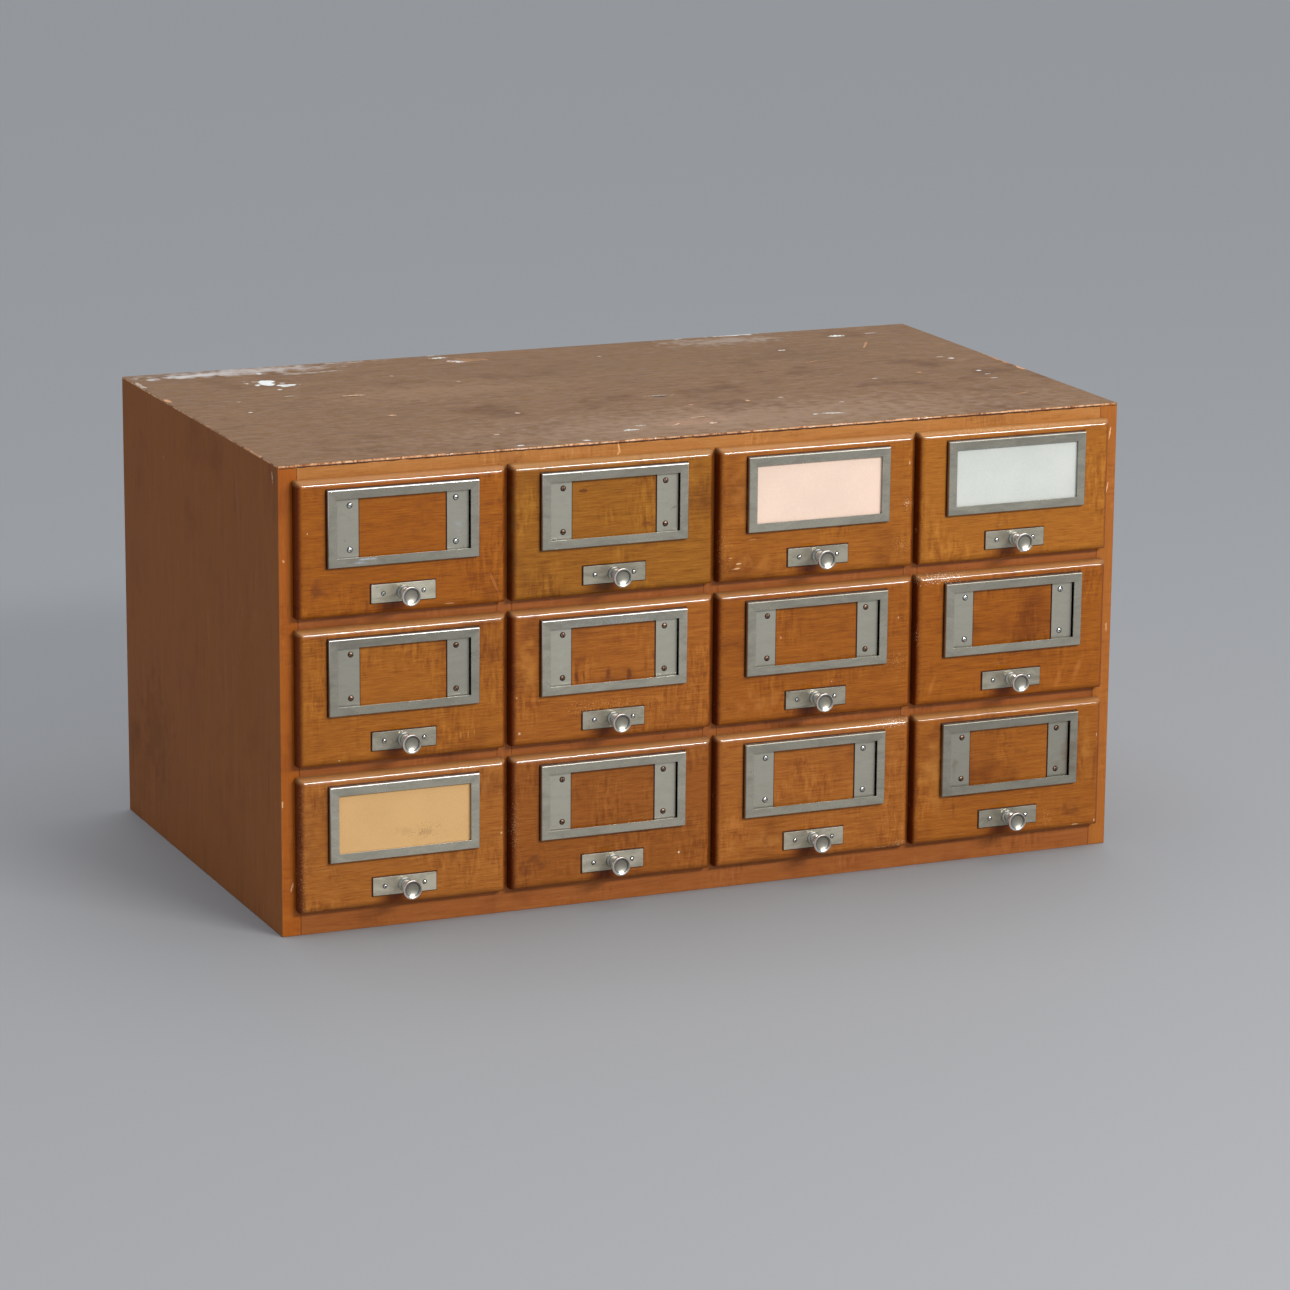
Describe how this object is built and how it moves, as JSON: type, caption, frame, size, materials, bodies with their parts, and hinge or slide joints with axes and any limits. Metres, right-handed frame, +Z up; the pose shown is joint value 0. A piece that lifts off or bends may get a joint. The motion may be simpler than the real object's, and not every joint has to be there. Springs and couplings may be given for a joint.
{
  "type": "card catalogue cabinet",
  "caption": "Low wide wooden chest of lipped card drawers, each with a metal label holder and a card rod whose knob opens it.",
  "frame": {"origin": "centre of the case's underside", "axes": "+Z up, +X along the width to the viewer's right, drawers open towards -Y"},
  "size_m": [0.7, 0.415, 0.362],
  "materials": {
    "dark_wood": "worn dark brown stain",
    "honey_wood": "satin honey varnish",
    "front_wood": "satin orange-brown varnish",
    "top_veneer": "dull worn veneer",
    "plain_wood": "unfinished",
    "plywood": "unfinished plywood",
    "plated_steel": "dull nickel plate",
    "knob_steel": "worn nickel plate",
    "peach_card": "blank paper",
    "white_card": "blank paper",
    "manila_card": "blank aged paper"
  },
  "bodies": {
    "case": {"left_side_panel": "dark_wood", "right_side_panel": "dark_wood", "top_panel": "honey_wood", "top_veneer": "top_veneer", "bottom_panel": "plain_wood", "back_panel": "plywood", "column_partitions": "honey_wood", "front_rails": "honey_wood", "drawer_runners": "plain_wood"},
    "drawer_r1c1": {"drawer_front_r1c1": "front_wood", "drawer_box_r1c1": "plain_wood", "front_fittings_r1c1": "plated_steel"},
    "rod_r1c1": {"card_rod_r1c1": "knob_steel"},
    "drawer_r1c2": {"drawer_front_r1c2": "front_wood", "drawer_box_r1c2": "plain_wood", "front_fittings_r1c2": "plated_steel"},
    "rod_r1c2": {"card_rod_r1c2": "knob_steel"},
    "drawer_r1c3": {"drawer_front_r1c3": "front_wood", "drawer_box_r1c3": "plain_wood", "front_fittings_r1c3": "plated_steel", "label_card_r1c3": "peach_card"},
    "rod_r1c3": {"card_rod_r1c3": "knob_steel"},
    "drawer_r1c4": {"drawer_front_r1c4": "front_wood", "drawer_box_r1c4": "plain_wood", "front_fittings_r1c4": "plated_steel", "label_card_r1c4": "white_card"},
    "rod_r1c4": {"card_rod_r1c4": "knob_steel"},
    "drawer_r2c1": {"drawer_front_r2c1": "front_wood", "drawer_box_r2c1": "plain_wood", "front_fittings_r2c1": "plated_steel"},
    "rod_r2c1": {"card_rod_r2c1": "knob_steel"},
    "drawer_r2c2": {"drawer_front_r2c2": "front_wood", "drawer_box_r2c2": "plain_wood", "front_fittings_r2c2": "plated_steel"},
    "rod_r2c2": {"card_rod_r2c2": "knob_steel"},
    "drawer_r2c3": {"drawer_front_r2c3": "front_wood", "drawer_box_r2c3": "plain_wood", "front_fittings_r2c3": "plated_steel"},
    "rod_r2c3": {"card_rod_r2c3": "knob_steel"},
    "drawer_r2c4": {"drawer_front_r2c4": "front_wood", "drawer_box_r2c4": "plain_wood", "front_fittings_r2c4": "plated_steel"},
    "rod_r2c4": {"card_rod_r2c4": "knob_steel"},
    "drawer_r3c1": {"drawer_front_r3c1": "front_wood", "drawer_box_r3c1": "plain_wood", "front_fittings_r3c1": "plated_steel", "label_card_r3c1": "manila_card"},
    "rod_r3c1": {"card_rod_r3c1": "knob_steel"},
    "drawer_r3c2": {"drawer_front_r3c2": "front_wood", "drawer_box_r3c2": "plain_wood", "front_fittings_r3c2": "plated_steel"},
    "rod_r3c2": {"card_rod_r3c2": "knob_steel"},
    "drawer_r3c3": {"drawer_front_r3c3": "front_wood", "drawer_box_r3c3": "plain_wood", "front_fittings_r3c3": "plated_steel"},
    "rod_r3c3": {"card_rod_r3c3": "knob_steel"},
    "drawer_r3c4": {"drawer_front_r3c4": "front_wood", "drawer_box_r3c4": "plain_wood", "front_fittings_r3c4": "plated_steel"},
    "rod_r3c4": {"card_rod_r3c4": "knob_steel"}
  },
  "joints": [
    {"name": "drawer_r1c1_slide", "type": "slide", "parent": "case", "child": "drawer_r1c1", "axis": [0, -1, 0], "range_m": [0, 0.3]},
    {"name": "rod_r1c1_slide", "type": "slide", "parent": "drawer_r1c1", "child": "rod_r1c1", "axis": [0, -1, 0], "range_m": [0, 0.35]},
    {"name": "drawer_r1c2_slide", "type": "slide", "parent": "case", "child": "drawer_r1c2", "axis": [0, -1, 0], "range_m": [0, 0.3]},
    {"name": "rod_r1c2_slide", "type": "slide", "parent": "drawer_r1c2", "child": "rod_r1c2", "axis": [0, -1, 0], "range_m": [0, 0.35]},
    {"name": "drawer_r1c3_slide", "type": "slide", "parent": "case", "child": "drawer_r1c3", "axis": [0, -1, 0], "range_m": [0, 0.3]},
    {"name": "rod_r1c3_slide", "type": "slide", "parent": "drawer_r1c3", "child": "rod_r1c3", "axis": [0, -1, 0], "range_m": [0, 0.35]},
    {"name": "drawer_r1c4_slide", "type": "slide", "parent": "case", "child": "drawer_r1c4", "axis": [0, -1, 0], "range_m": [0, 0.3]},
    {"name": "rod_r1c4_slide", "type": "slide", "parent": "drawer_r1c4", "child": "rod_r1c4", "axis": [0, -1, 0], "range_m": [0, 0.35]},
    {"name": "drawer_r2c1_slide", "type": "slide", "parent": "case", "child": "drawer_r2c1", "axis": [0, -1, 0], "range_m": [0, 0.3]},
    {"name": "rod_r2c1_slide", "type": "slide", "parent": "drawer_r2c1", "child": "rod_r2c1", "axis": [0, -1, 0], "range_m": [0, 0.35]},
    {"name": "drawer_r2c2_slide", "type": "slide", "parent": "case", "child": "drawer_r2c2", "axis": [0, -1, 0], "range_m": [0, 0.3]},
    {"name": "rod_r2c2_slide", "type": "slide", "parent": "drawer_r2c2", "child": "rod_r2c2", "axis": [0, -1, 0], "range_m": [0, 0.35]},
    {"name": "drawer_r2c3_slide", "type": "slide", "parent": "case", "child": "drawer_r2c3", "axis": [0, -1, 0], "range_m": [0, 0.3]},
    {"name": "rod_r2c3_slide", "type": "slide", "parent": "drawer_r2c3", "child": "rod_r2c3", "axis": [0, -1, 0], "range_m": [0, 0.35]},
    {"name": "drawer_r2c4_slide", "type": "slide", "parent": "case", "child": "drawer_r2c4", "axis": [0, -1, 0], "range_m": [0, 0.3]},
    {"name": "rod_r2c4_slide", "type": "slide", "parent": "drawer_r2c4", "child": "rod_r2c4", "axis": [0, -1, 0], "range_m": [0, 0.35]},
    {"name": "drawer_r3c1_slide", "type": "slide", "parent": "case", "child": "drawer_r3c1", "axis": [0, -1, 0], "range_m": [0, 0.3]},
    {"name": "rod_r3c1_slide", "type": "slide", "parent": "drawer_r3c1", "child": "rod_r3c1", "axis": [0, -1, 0], "range_m": [0, 0.35]},
    {"name": "drawer_r3c2_slide", "type": "slide", "parent": "case", "child": "drawer_r3c2", "axis": [0, -1, 0], "range_m": [0, 0.3]},
    {"name": "rod_r3c2_slide", "type": "slide", "parent": "drawer_r3c2", "child": "rod_r3c2", "axis": [0, -1, 0], "range_m": [0, 0.35]},
    {"name": "drawer_r3c3_slide", "type": "slide", "parent": "case", "child": "drawer_r3c3", "axis": [0, -1, 0], "range_m": [0, 0.3]},
    {"name": "rod_r3c3_slide", "type": "slide", "parent": "drawer_r3c3", "child": "rod_r3c3", "axis": [0, -1, 0], "range_m": [0, 0.35]},
    {"name": "drawer_r3c4_slide", "type": "slide", "parent": "case", "child": "drawer_r3c4", "axis": [0, -1, 0], "range_m": [0, 0.3]},
    {"name": "rod_r3c4_slide", "type": "slide", "parent": "drawer_r3c4", "child": "rod_r3c4", "axis": [0, -1, 0], "range_m": [0, 0.35]}
  ]
}
